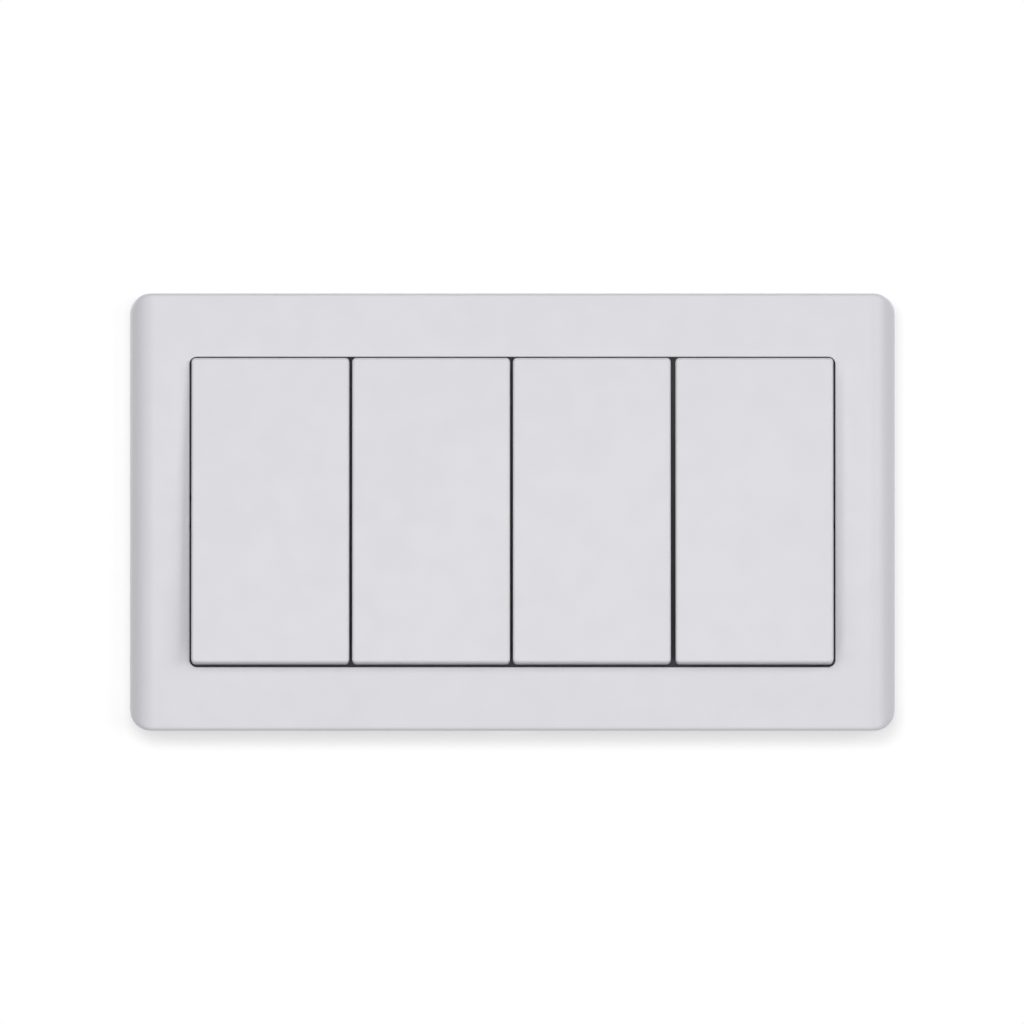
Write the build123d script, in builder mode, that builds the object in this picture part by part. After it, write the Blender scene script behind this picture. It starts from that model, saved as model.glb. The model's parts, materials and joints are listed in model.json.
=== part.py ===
from build123d import *
from math import asin, cos, pi, radians, sin, sqrt
import os

# A four-gang rocker light switch on a double wall plate, in millimetres.
# X runs to the right, Y into the wall and Z up. The wall's face is the plane y = 0: the plate
# stands in front of it, at negative y, and the mechanisms hang behind it in the wall box.
# Each gang is built once, level and at x = 0, and then turned to rest and copied to its place.
# The rockers rest with their lower ends out, and then the lower contact of each gang is closed.

# Rockers and the window that they fill
rocker_width = 30.1
rocker_gaps = (0.55, 0.55, 0.9)  # between neighbours; the last pair stands a little apart
rocker_reach = 29.15  # from the pivot axis up and down to the end walls
face_reach = 5.0  # from the pivot axis to the level face
face_thickness = 1.8
rocker_wall = 1.4
skirt_drop = 1.2  # how far the skirt reaches behind the pivot axis
rocker_corner = 0.8
rocker_edge = 0.5
rocker_tilt = 4.0  # each way from level
rocker_rib = 0.9
rocker_rib_depth = 1.5
rocker_rib_place = 10.0
cross_rib_place = 15.5
window_side_gap = 0.4
window_end_gap = 0.45  # each end wall swings through part of it
window_corner = 1.4

# Front frame
side_rail = 11.4
end_rail = 12.1
plate_depth = 9.0
plate_wall = 1.8
plate_corner = 4.0
plate_edge = 0.6
roll_radius = 5.2  # the sides of the plate roll back to the wall
roll_width = 4.8
scoop_radius = 4.2  # and dip softly towards the rockers
scoop_width = 2.4
window_edge = 0.2
lip_wall = 1.4
lip_height = 3.4  # of the lip round the window, from the front surface back
frame_rib = 1.0
leg_width = 7.0
leg_thickness = 1.3
leg_play = 0.25
leg_spring_room = 1.35
leg_place = 38.0  # from the middle of the plate
leg_end = -0.4
barb_height = 0.8
barb_front = -1.6
pry_notch_width = 8.0
pry_notch_depth = 1.0

# Chassis that carries the four mechanisms and takes the two fixing screws
chassis_front = -3.2
chassis_plate = 1.8
chassis_rim = 1.6
chassis_side_room = 3.0
chassis_corner = 3.0
chassis_rib = 1.2
housing_play = 0.2
barb_hole_play = 0.3
fixing_web = 4.35  # from a mechanism's side to the screw's axis, for screws 120.6 apart
fixing_slot_width = 3.9
fixing_slot_length = 5.4
screw_pocket_radius = 3.6
screw_pocket_depth = 0.8
stud_room = 3.5

# Fixing screws, M3.5
screw_radius = 1.75
screw_neck = 1.5
neck_end = -1.0
screw_head_radius = 3.3
screw_head_height = 1.9
screw_head_edge = 0.6
screw_slot_width = 0.9
screw_slot_depth = 1.0
screw_reach = 16.4  # behind the wall's face
screw_tip = 0.5

# Mechanism housing and its cover
housing_width = 19.6
housing_end_room = 5.35  # inside the rocker's end walls
housing_wall = 1.4
housing_corner = 1.2
flange_side = 0.6
flange_end = 1.2
flange_thickness = 1.0
catch_height = 0.6
catch_length = 2.0
catch_width = 6.0
catch_play = 0.1
cover_thickness = 1.2
cover_inset = 0.4
cover_lip = 1.0
cover_lip_depth = 1.2
cover_play = 0.1

# Dolly, the rocking piece that each rocker clips on
pivot_sink = 2.0  # pivot axis behind the plate's front surface
trunnion_radius = 1.5
trunnion_play = 0.07
trunnion_reach = 7.4
dolly_width = 11.2
dolly_height = 22.0
dolly_plate = 1.8
dolly_corner = 1.0
dolly_rib = 1.2
hub_width = 10.8
hub_height = 4.8
hub_back = 1.2
foot_thickness = 1.6
stop_clearance = 0.15
ear_play = 0.6
ear_thickness = 1.6
ear_wall = 1.03
ear_catch = 0.3  # by which the throat is narrower than the trunnion, at each side
tube_radius = 2.6
tube_reach = 8.6
tube_room = 0.7
bore_radius = 1.6
bore_front = 3.2  # behind the pivot axis
clip_thickness = 1.2
clip_play = 0.1
clip_near = 5.2
clip_far = 8.8
clip_barb = 0.7
clip_hook = 0.9

# Plunger, its spring, and the contact blade that they rock
plunger_radius = 1.5
plunger_shoulder = 6.4  # behind the pivot axis
stem_radius = 0.7
stem_length = 1.6
spring_wire = 0.2
spring_radius = 1.15
spring_turns = 4
spring_steps = 9  # straight pieces that stand for each turn
pivot_spacing = 12.6  # from the rocker's pivot back to the blade's
blade_tilt = 9.0  # each way from level
blade_clearance = 0.15
blade_thickness = 1.0
blade_width = 4.0
blade_end = 2.0  # beyond the contacts
blade_end_radius = 1.9
cheek_thickness = 0.4
cheek_height = 1.0
cheek_reach = 3.2
contact_room = 3.2  # from a partition to the contact's middle

# Contacts and terminals
button_height = 0.7
button_radius = 1.4
dome_radius = 3.0
rivet_radius = 0.8
rivet_play = 0.02
contact_clearance = 0.12
fixed_button = 0.65
tab_thickness = 1.0
tab_width = 4.0
tab_overhang = 1.9
tab_jog = 2.0
cage_width = 6.4
cage_length = 6.0
cage_mouth_width = 3.8
cage_mouth_depth = 4.6
cage_back_wall = 1.1
cage_place = 4.3  # of the two lower cages, from the gang's middle
fulcrum_radius = 0.4
fulcrum_play = 0.06
fulcrum_width = 4.4
fulcrum_neck = 1.0
fulcrum_post = 1.2
common_plate = 3.0
arm_width = 1.8
clamp_room = 8.8  # for a cage, between a partition and the housing's end wall
partition_wall = 1.0
cage_from_partition = 1.5

# Terminal screws
terminal_screw_radius = 1.4
terminal_screw_play = 0.05
terminal_head_radius = 2.3
terminal_head_height = 1.3
terminal_head_play = 0.2
terminal_screw_reach = 2.4  # into the cage

# Places worked out from these sizes
window_width = 4 * rocker_width + sum(rocker_gaps) + 2 * window_side_gap
window_height = 2 * (rocker_reach + window_end_gap)
plate_width = window_width + 2 * side_rail
plate_height = window_height + 2 * end_rail
skirt_inside = plate_height / 2 - plate_wall
chassis_width = plate_width - 2 * (plate_wall + chassis_side_room)
chassis_height = plate_height - 2 * (plate_wall + leg_spring_room + leg_thickness + leg_play)
leg_inside = chassis_height / 2 + leg_play
chassis_web = chassis_front + chassis_plate
screw_seat = chassis_front + screw_pocket_depth

pivot_y = pivot_sink - plate_depth
face_inside = pivot_y - face_reach + face_thickness
dolly_back = face_inside + dolly_plate
flange_front = chassis_front - flange_thickness
cover_front = flange_front - cover_thickness
foot_swing = dolly_height / 2 * sin(radians(rocker_tilt))
foot_back = pivot_y + (cover_front - stop_clearance - pivot_y - foot_swing) / cos(radians(rocker_tilt))
ear_near = hub_width / 2 + ear_play
ear_radius = trunnion_radius + trunnion_play + ear_wall
ear_throat = 2 * (trunnion_radius - ear_catch)

housing_height = 2 * (rocker_reach - rocker_wall - housing_end_room)
inner_width = housing_width - 2 * housing_wall
inner_height = housing_height - 2 * housing_wall
partition_place = inner_height / 2 - clamp_room
contact_arm = partition_place - contact_room
blade_reach = contact_arm + blade_end

blade_y = pivot_y + pivot_spacing
plunger_tip = blade_y - blade_thickness - blade_clearance
dome_centre = button_height - dome_radius
dome_shift = dome_centre * cos(radians(blade_tilt)) + contact_arm * sin(radians(blade_tilt))
contact_z = contact_arm * cos(radians(blade_tilt)) - dome_centre * sin(radians(blade_tilt))
fixed_face = blade_y + dome_shift + dome_radius + contact_clearance
tab_front = fixed_face + fixed_button
tab_back = tab_front + tab_thickness
cage_back = tab_back + cage_mouth_depth + cage_back_wall
cage_start = partition_place + partition_wall / 2 + cage_from_partition
cage_middle = cage_start + cage_length / 2
housing_floor = cage_back
housing_back = housing_floor + housing_wall
cages = ((0, 1), (-cage_place, -1), (cage_place, -1))  # sideways place, and which end

gang_places = [-window_width / 2 + window_side_gap + rocker_width / 2]
for gap in rocker_gaps:
    gang_places.append(gang_places[-1] + rocker_width + gap)
fixing_x = gang_places[-1] + housing_width / 2 + fixing_web

both_ways = (-1, 1)
rocker_axis = Axis((0, pivot_y, 0), (1, 0, 0))
blade_axis = Axis((0, blade_y, 0), (1, 0, 0))


def facing(y):
    """The plane across Y at depth y, whose normal points out of the wall."""
    return Plane.XZ.offset(-y)


def rolled_section(width, depth, radius, roll):
    """A slab on the wall seen along Z, whose sides roll back by an arc of the given radius."""
    drop = radius - sqrt(radius**2 - roll**2)
    half, flat = width / 2, width / 2 - roll
    turn = asin(roll / radius) / 2
    bulge = (flat + radius * sin(turn), radius - radius * cos(turn) - depth)
    with BuildSketch() as section:
        with BuildLine():
            Polyline((half, drop - depth), (half, 0), (-half, 0), (-half, drop - depth))
            ThreePointArc((-half, drop - depth), (-bulge[0], bulge[1]), (-flat, -depth))
            Line((-flat, -depth), (flat, -depth))
            ThreePointArc((flat, -depth), bulge, (half, drop - depth))
        make_face()
    return section.sketch


# Front frame: a hollow plate, with a lip round its window, ribs and four snap legs
scoop_drop = scoop_radius - sqrt(scoop_radius**2 - scoop_width**2)
scoop_turn = asin(scoop_width / scoop_radius) / 2
outer_section = rolled_section(plate_width, plate_depth, roll_radius, roll_width)
inner_section = rolled_section(
    plate_width - 2 * plate_wall,
    plate_depth - plate_wall,
    roll_radius - plate_wall,
    roll_width - plate_wall,
)
with BuildPart() as hollow:
    with BuildSketch(Plane.XZ):
        RectangleRounded(plate_width - 2 * plate_wall, 2 * skirt_inside, plate_corner - plate_wall)
    extrude(amount=plate_depth)
    extrude(inner_section, plate_height / 2, both=True, mode=Mode.INTERSECT)

with BuildPart() as front_frame:
    with BuildSketch(Plane.XZ):
        RectangleRounded(plate_width, plate_height, plate_corner)
    extrude(amount=plate_depth)
    extrude(outer_section, plate_height / 2, both=True, mode=Mode.INTERSECT)
    front_edges = front_frame.edges().filter_by(
        lambda edge: edge.center().Y < pivot_y / 2
        and abs(edge.tangent_at(0.5).Y) < 0.99
        and abs(abs(edge.center().X) - plate_width / 2 + roll_width) > 0.01
    )
    fillet(front_edges, plate_edge)
    add(hollow.part, mode=Mode.SUBTRACT)
    # The lip, and ribs from it to the skirt above and below
    with BuildSketch(facing(lip_height - plate_depth)):
        RectangleRounded(window_width + 2 * lip_wall, window_height + 2 * lip_wall, window_corner + lip_wall)
        rib_length = skirt_inside - window_height / 2
        for end in both_ways:
            with Locations((0, end * (skirt_inside + window_height / 2) / 2)):
                with GridLocations(plate_width / 5, 0, 5, 1):
                    Rectangle(frame_rib, rib_length)
    extrude(amount=lip_height - plate_wall / 2)
    with BuildSketch(Plane.XZ):
        RectangleRounded(window_width, window_height, window_corner)
    extrude(amount=plate_depth, mode=Mode.SUBTRACT)
    # The soft dips beside the outer rockers, ending where the window's corners begin
    with BuildSketch(Plane.XY):
        for side in both_ways:
            edge_x, dip_x = side * window_width / 2, side * (window_width / 2 + scoop_width)
            middle_x = dip_x - side * scoop_radius * sin(scoop_turn)
            middle_y = scoop_radius - scoop_radius * cos(scoop_turn) - plate_depth
            with BuildLine():
                ThreePointArc((dip_x, -plate_depth), (middle_x, middle_y), (edge_x, scoop_drop - plate_depth))
                Polyline(
                    (edge_x, scoop_drop - plate_depth),
                    (edge_x - side, scoop_drop - plate_depth),
                    (edge_x - side, -plate_depth - 1),
                    (dip_x, -plate_depth - 1),
                    (dip_x, -plate_depth),
                )
            make_face()
    extrude(amount=window_height / 2 - window_corner, both=True, mode=Mode.SUBTRACT)
    # Snap legs, whose barbs catch in the chassis's rim
    for side in both_ways:
        for end in both_ways:
            with BuildSketch(Plane.YZ.offset(side * leg_place - leg_width / 2)):
                with BuildLine():
                    Polyline(
                        (plate_wall / 2 - plate_depth, end * leg_inside),
                        (barb_front, end * leg_inside),
                        (barb_front, end * (leg_inside - barb_height)),
                        (leg_end, end * leg_inside),
                        (leg_end, end * (leg_inside + leg_thickness)),
                        (plate_wall / 2 - plate_depth, end * (leg_inside + leg_thickness)),
                        close=True,
                    )
                make_face()
            extrude(amount=leg_width)
    # The notch in the lower skirt that lets a screwdriver lift the frame off
    with Locations((0, -pry_notch_depth / 2, plate_wall / 2 - plate_height / 2)):
        Box(pry_notch_width, pry_notch_depth, 2 * plate_wall, mode=Mode.SUBTRACT)

# Mounting plate: the dark chassis behind the frame
with BuildPart() as mounting_plate:
    with BuildSketch(Plane.XZ):
        RectangleRounded(chassis_width, chassis_height, chassis_corner)
    extrude(amount=-chassis_front)
    with BuildSketch(Plane.XZ):
        RectangleRounded(
            chassis_width - 2 * chassis_rim, chassis_height - 2 * chassis_rim, chassis_corner - chassis_rim
        )
        # Ribs beside each window and outside each screw
        rib_from_window = (housing_width + chassis_rib) / 2 + housing_play
        rib_places = [place + side * rib_from_window for place in gang_places for side in both_ways]
        rib_places += [side * (fixing_x + stud_room + chassis_rib / 2) for side in both_ways]
        with Locations(*[(place, 0) for place in rib_places]):
            Rectangle(chassis_rib, chassis_height - chassis_rim, mode=Mode.SUBTRACT)
    extrude(amount=-chassis_web, mode=Mode.SUBTRACT)
    with BuildSketch(Plane.XZ):
        with Locations(*[(place, 0) for place in gang_places]):
            RectangleRounded(
                housing_width + 2 * housing_play, housing_height + 2 * housing_play, housing_corner
            )
        with Locations((-fixing_x, 0), (fixing_x, 0)):
            SlotOverall(fixing_slot_length, fixing_slot_width)
    extrude(amount=-chassis_front, mode=Mode.SUBTRACT)
    with BuildSketch(facing(screw_seat)):
        with Locations((-fixing_x, 0), (fixing_x, 0)):
            Circle(screw_pocket_radius)
    extrude(amount=screw_pocket_depth, mode=Mode.SUBTRACT)
    with BuildSketch(Plane.XZ):
        with Locations((-fixing_x, 0), (fixing_x, 0)):
            Circle(stud_room)
    extrude(amount=-chassis_web, mode=Mode.SUBTRACT)
    barb_hole_depth = leg_end - barb_front + barb_hole_play
    with Locations(
        *[
            (side * leg_place, leg_end - barb_hole_depth / 2, end * (chassis_height - chassis_rim) / 2)
            for side in both_ways
            for end in both_ways
        ]
    ):
        Box(leg_width + 2 * barb_hole_play, barb_hole_depth, 1.5 * chassis_rim, mode=Mode.SUBTRACT)

# Fixing screws
with BuildPart() as fixing_screws:
    with BuildSketch(facing(screw_seat)):
        with Locations((-fixing_x, 0), (fixing_x, 0)):
            Circle(screw_head_radius)
    extrude(amount=screw_head_height)
    chamfer(fixing_screws.faces().filter_by(Axis.Y).sort_by(Axis.Y)[:2].edges(), screw_head_edge)
    with BuildSketch(facing(neck_end)):
        with Locations((-fixing_x, 0), (fixing_x, 0)):
            Circle(screw_neck)
    extrude(amount=neck_end - screw_seat)
    with BuildSketch(facing(screw_reach)):
        with Locations((-fixing_x, 0), (fixing_x, 0)):
            Circle(screw_radius)
    extrude(amount=screw_reach - neck_end)
    chamfer(fixing_screws.faces().filter_by(Axis.Y).sort_by(Axis.Y)[-2:].edges(), screw_tip)
    with BuildSketch(facing(screw_seat - screw_head_height + screw_slot_depth)):
        with Locations((-fixing_x, 0), (fixing_x, 0)):
            Rectangle(2 * screw_head_radius, screw_slot_width, rotation=30)
    extrude(amount=screw_slot_depth, mode=Mode.SUBTRACT)


# Rocker: a thin cap, hollow behind, with ribs and four hooks for the dolly
with BuildPart() as rocker:
    with BuildSketch(facing(pivot_y + skirt_drop)):
        RectangleRounded(rocker_width, 2 * rocker_reach, rocker_corner)
    extrude(amount=skirt_drop + face_reach)
    fillet(rocker.faces().sort_by(Axis.Y)[0].edges(), rocker_edge)
    with BuildSketch(facing(pivot_y + skirt_drop)):
        Rectangle(rocker_width - 2 * rocker_wall, 2 * (rocker_reach - rocker_wall))
    extrude(amount=skirt_drop + face_reach - face_thickness, mode=Mode.SUBTRACT)
    with BuildSketch(facing(face_inside + rocker_rib_depth)):
        for side in both_ways:
            with Locations((side * rocker_rib_place, 0)):
                Rectangle(rocker_rib, 2 * rocker_reach - rocker_wall)
            with Locations((0, side * cross_rib_place)):
                Rectangle(rocker_width - rocker_wall, rocker_rib)
    extrude(amount=rocker_rib_depth + face_thickness / 2)
    hook_x = dolly_width / 2 + clip_play
    for side in both_ways:
        for end in both_ways:
            with BuildSketch(Plane.XY.offset(end * clip_near)):
                with BuildLine():
                    Polyline(
                        (side * hook_x, face_inside - face_thickness / 2),
                        (side * hook_x, dolly_back + clip_play / 2),
                        (side * (hook_x - clip_barb), dolly_back + clip_play / 2),
                        (side * hook_x, dolly_back + clip_hook),
                        (side * (hook_x + clip_thickness), dolly_back + clip_hook),
                        (side * (hook_x + clip_thickness), face_inside - face_thickness / 2),
                        close=True,
                    )
                make_face()
            extrude(amount=end * (clip_far - clip_near))

# Dolly: plate, feet that stop the swing, hub with trunnions, and the tube for the plunger
with BuildPart() as dolly:
    with BuildSketch(facing(dolly_back)):
        RectangleRounded(dolly_width, dolly_height, dolly_corner)
    extrude(amount=dolly_plate)
    with BuildSketch(facing(foot_back)):
        for end in both_ways:
            with Locations((0, end * (dolly_height - foot_thickness) / 2)):
                Rectangle(dolly_width - 2 * dolly_corner, foot_thickness)
        Rectangle(dolly_rib, dolly_height - foot_thickness)
    extrude(amount=foot_back - dolly_back)
    with BuildSketch(facing(pivot_y + hub_back)):
        Rectangle(hub_width, hub_height)
    extrude(amount=pivot_y + hub_back - dolly_back)
    with BuildSketch(Plane.YZ):
        with Locations((pivot_y, 0)):
            Circle(trunnion_radius)
    extrude(amount=trunnion_reach, both=True)
    with BuildSketch(facing(pivot_y + tube_reach)):
        Circle(tube_radius)
    extrude(amount=tube_reach - hub_back)
    with BuildSketch(facing(pivot_y + tube_reach)):
        Circle(bore_radius)
    extrude(amount=tube_reach - bore_front, mode=Mode.SUBTRACT)

# Plunger: a round-nosed pin with a stem that centres its spring
with BuildPart() as plunger:
    shoulder_y = pivot_y + plunger_shoulder
    nose_y = plunger_tip - plunger_radius
    with BuildSketch(Plane.XY):
        with BuildLine():
            Polyline(
                (0, plunger_tip),
                (0, shoulder_y - stem_length),
                (stem_radius, shoulder_y - stem_length),
                (stem_radius, shoulder_y),
                (plunger_radius, shoulder_y),
                (plunger_radius, nose_y),
            )
            JernArc((plunger_radius, nose_y), (0, 1), plunger_radius, 90)
        make_face()
    revolve(axis=Axis.Y)

# Plunger spring
with BuildPart() as plunger_spring:
    spring_start = pivot_y + bore_front + spring_wire
    spring_length = plunger_shoulder - bore_front - 2 * spring_wire
    turn_points = []
    for step in range(spring_turns * spring_steps + 1):
        angle = 2 * pi * step / spring_steps
        along = spring_start + spring_length * step / (spring_turns * spring_steps)
        turn_points.append((spring_radius * cos(angle), along, spring_radius * sin(angle)))
    with BuildLine() as coil:
        Polyline(*turn_points)
    with BuildSketch(Plane(coil.line @ 0, z_dir=coil.line % 0)):
        RegularPolygon(spring_wire, 6)
    sweep(transition=Transition.RIGHT)

# Contact bridge: the blade that rocks on the common terminal's post
with BuildPart() as contact_bridge:
    with BuildSketch(facing(blade_y)):
        RectangleRounded(blade_width, 2 * blade_reach, blade_end_radius)
        with Locations((0, contact_arm), (0, -contact_arm)):
            Circle(rivet_radius + rivet_play, mode=Mode.SUBTRACT)
    extrude(amount=blade_thickness)
    blade_front = blade_y - blade_thickness
    for side in both_ways:
        with BuildSketch(Plane.YZ.offset(side * blade_width / 2)):
            with BuildLine():
                Polyline(
                    (blade_front + blade_thickness / 2, -cheek_reach),
                    (blade_front, -cheek_reach),
                    (blade_front - cheek_height, -cheek_reach + cheek_height),
                    (blade_front - cheek_height, cheek_reach - cheek_height),
                    (blade_front, cheek_reach),
                    (blade_front + blade_thickness / 2, cheek_reach),
                    close=True,
                )
            make_face()
        extrude(amount=-side * cheek_thickness)
    with BuildSketch(Plane.YZ):
        with Locations((blade_y, 0)):
            Circle(fulcrum_radius + fulcrum_play)
    extrude(amount=blade_width, both=True, mode=Mode.SUBTRACT)

# Moving contacts: domed silver rivets in the blade's two ends
dome_rim = dome_radius - sqrt(dome_radius**2 - button_radius**2)
dome_top = blade_y + button_height
with BuildPart() as moving_contacts:
    for end in both_ways:
        with BuildSketch(Plane.XY.offset(end * contact_arm)):
            with BuildLine():
                Polyline(
                    (0, dome_top),
                    (0, blade_front),
                    (rivet_radius, blade_front),
                    (rivet_radius, blade_y),
                    (button_radius, blade_y),
                    (button_radius, dome_top - dome_rim),
                )
                RadiusArc((button_radius, dome_top - dome_rim), (0, dome_top), -dome_radius)
            make_face()
        revolve(axis=Axis((0, 0, end * contact_arm), (0, 1, 0)))


def clamp_cage(x, end):
    """A square-sided tube for one wire, along Z, with a threaded hole in its back wall."""
    low_end = cage_start if end > 0 else -cage_start - cage_length
    with BuildSketch(Plane.XY.offset(low_end)) as tube:
        with Locations((x, (tab_front + cage_back) / 2)):
            Rectangle(cage_width, cage_back - tab_front)
        with Locations((x, tab_back + cage_mouth_depth / 2)):
            Rectangle(cage_mouth_width, cage_mouth_depth, mode=Mode.SUBTRACT)
    extrude(tube.sketch, cage_length)
    with BuildSketch(facing(cage_back)) as screw_hole:
        with Locations((x, end * cage_middle)):
            Circle(terminal_screw_radius + terminal_screw_play)
    extrude(screw_hole.sketch, cage_back_wall, mode=Mode.SUBTRACT)


def contact_hole(end):
    """The hole for a fixed contact's shank."""
    with BuildSketch(facing(tab_back)) as hole:
        with Locations((0, end * contact_z)):
            Circle(rivet_radius + rivet_play)
    extrude(hole.sketch, tab_thickness, mode=Mode.SUBTRACT)


# Upper line terminal
with BuildPart() as upper_terminal:
    clamp_cage(0, 1)
    with BuildSketch(facing(tab_back)):
        tab_length = cage_start + 1 - contact_z + tab_overhang
        with Locations((0, contact_z - tab_overhang + tab_length / 2)):
            Rectangle(tab_width, tab_length)
    extrude(amount=tab_thickness)
    contact_hole(1)

# Lower line terminal: its tab jogs from the contact in the middle to the cage on the left
with BuildPart() as lower_terminal:
    clamp_cage(-cage_place, -1)
    cage_left, cage_right = -cage_place - cage_width / 2, -cage_place + cage_width / 2
    with BuildSketch(facing(tab_back)):
        with BuildLine():
            Polyline(
                (tab_width / 2, tab_overhang - contact_z),
                (tab_width / 2, -contact_z - tab_jog),
                (cage_right, -cage_start),
                (cage_right, -cage_start - 1),
                (cage_left, -cage_start - 1),
                (cage_left, -cage_start),
                (-tab_width / 2, -contact_z),
                (-tab_width / 2, tab_overhang - contact_z),
                close=True,
            )
        make_face()
    extrude(amount=tab_thickness)
    contact_hole(-1)

# Common terminal: cage, arm, and the rounded post that the blade rocks on
with BuildPart() as common_terminal:
    clamp_cage(cage_place, -1)
    arm_right = cage_place + cage_width / 2
    with BuildSketch(facing(tab_back)):
        with BuildLine():
            Polyline(
                (-fulcrum_width / 2, common_plate / 2),
                (arm_right, common_plate / 2),
                (arm_right, -cage_start - 1),
                (cage_place - cage_width / 2, -cage_start - 1),
                (cage_place - cage_width / 2, -cage_start),
                (arm_right - arm_width, -cage_start + tab_jog),
                (arm_right - arm_width, -common_plate / 2),
                (-fulcrum_width / 2, -common_plate / 2),
                close=True,
            )
        make_face()
    extrude(amount=tab_thickness)
    with BuildSketch(Plane.YZ):
        with Locations((blade_y, 0)):
            Circle(fulcrum_radius)
        with Locations(((blade_y + tab_back) / 2, 0)):
            Rectangle(tab_back - blade_y, 2 * fulcrum_radius)
        with Locations(((blade_y + fulcrum_neck + tab_back) / 2, 0)):
            Rectangle(tab_back - blade_y - fulcrum_neck, fulcrum_post)
    extrude(amount=fulcrum_width / 2, both=True)

# Fixed contacts: flat silver rivets, one in each line terminal
with BuildPart() as fixed_contacts:
    for end in both_ways:
        with BuildSketch(facing(tab_back)):
            with Locations((0, end * contact_z)):
                Circle(rivet_radius)
        extrude(amount=tab_thickness)
        with BuildSketch(facing(tab_front)):
            with Locations((0, end * contact_z)):
                Circle(button_radius)
        extrude(amount=fixed_button)

# Terminal screws, whose slotted heads lie level with the housing's back
with BuildPart() as terminal_screws:
    screw_spots = [(x, end * cage_middle) for x, end in cages]
    with BuildSketch(facing(housing_back)):
        with Locations(*screw_spots):
            Circle(terminal_head_radius)
    extrude(amount=terminal_head_height)
    with BuildSketch(facing(housing_back)):
        with Locations(*screw_spots):
            Circle(terminal_screw_radius)
    extrude(amount=housing_wall + terminal_screw_reach)
    with BuildSketch(facing(housing_back)):
        with Locations(*screw_spots):
            Rectangle(2 * terminal_head_radius, screw_slot_width)
    extrude(amount=terminal_head_height / 2, mode=Mode.SUBTRACT)

# Mechanism housing: a deep box with walls for the terminals to stand on, and snap catches
with BuildPart() as mechanism_housing:
    with BuildSketch(facing(housing_back)):
        RectangleRounded(housing_width, housing_height, housing_corner)
    extrude(amount=housing_back - flange_front)
    with BuildSketch(facing(chassis_front)):
        RectangleRounded(
            housing_width + 2 * flange_side, housing_height + 2 * flange_end, housing_corner + flange_side
        )
    extrude(amount=flange_thickness)
    with BuildSketch(facing(housing_floor)):
        Rectangle(inner_width, inner_height)
    extrude(amount=housing_floor - flange_front, mode=Mode.SUBTRACT)
    with BuildSketch(facing(housing_floor)):
        for end in both_ways:
            with Locations((0, end * partition_place)):
                Rectangle(housing_width - housing_wall, partition_wall)
        with Locations((0, -(partition_place + inner_height / 2 + housing_wall / 2) / 2)):
            Rectangle(partition_wall, inner_height / 2 + housing_wall / 2 - partition_place)
        Rectangle(fulcrum_width, common_plate)
    extrude(amount=housing_floor - tab_back)
    # Wire entries through the end walls, and holes for the screws' heads
    for x, end in cages:
        with BuildSketch(Plane.XY.offset(end * (inner_height / 2 - housing_wall / 2))):
            with Locations((x, tab_back + cage_mouth_depth / 2)):
                Rectangle(cage_mouth_width, cage_mouth_depth)
        extrude(amount=end * 2 * housing_wall, mode=Mode.SUBTRACT)
    with BuildSketch(facing(housing_back)):
        with Locations(*[(x, end * cage_middle) for x, end in cages]):
            Circle(terminal_head_radius + terminal_head_play)
    extrude(amount=housing_wall, mode=Mode.SUBTRACT)
    # Catches that snap in behind the chassis
    for end in both_ways:
        with BuildSketch(Plane.YZ.offset(-catch_width / 2)):
            with BuildLine():
                Polyline(
                    (chassis_web + catch_play, end * (housing_height - housing_wall) / 2),
                    (chassis_web + catch_play, end * (housing_height / 2 + catch_height)),
                    (chassis_web + catch_play + catch_length, end * housing_height / 2),
                    (chassis_web + catch_play + catch_length, end * (housing_height - housing_wall) / 2),
                    close=True,
                )
            make_face()
        extrude(amount=catch_width)

# Mechanism cover: lid, lip, and the two open bearings for the dolly's trunnions
with BuildPart() as mechanism_cover:
    with BuildSketch(facing(flange_front)):
        RectangleRounded(
            housing_width + 2 * (flange_side - cover_inset),
            housing_height + 2 * (flange_end - cover_inset),
            housing_corner,
        )
    extrude(amount=cover_thickness)
    with BuildSketch(facing(flange_front + cover_lip_depth)):
        Rectangle(inner_width - 2 * cover_play, inner_height - 2 * cover_play)
        Rectangle(
            inner_width - 2 * (cover_play + cover_lip),
            inner_height - 2 * (cover_play + cover_lip),
            mode=Mode.SUBTRACT,
        )
    extrude(amount=cover_lip_depth)
    with BuildSketch(facing(flange_front)):
        Rectangle(2 * (tube_radius + tube_room), 2 * (tube_radius + tube_room))
    extrude(amount=cover_thickness, mode=Mode.SUBTRACT)
    for side in both_ways:
        with BuildSketch(Plane.YZ.offset(side * ear_near)):
            with Locations((pivot_y, 0)):
                Circle(ear_radius)
            with Locations(((pivot_y + flange_front) / 2, 0)):
                Rectangle(flange_front - pivot_y, 2 * ear_radius)
        extrude(amount=side * ear_thickness)
    # The bore for the trunnions, with the throat that they snap in through
    with BuildSketch(Plane.YZ):
        with Locations((pivot_y, 0)):
            Circle(trunnion_radius + trunnion_play)
        with Locations((pivot_y - ear_radius, 0)):
            Rectangle(2 * ear_radius, ear_throat)
    extrude(amount=ear_near + ear_thickness, both=True, mode=Mode.SUBTRACT)


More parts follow.
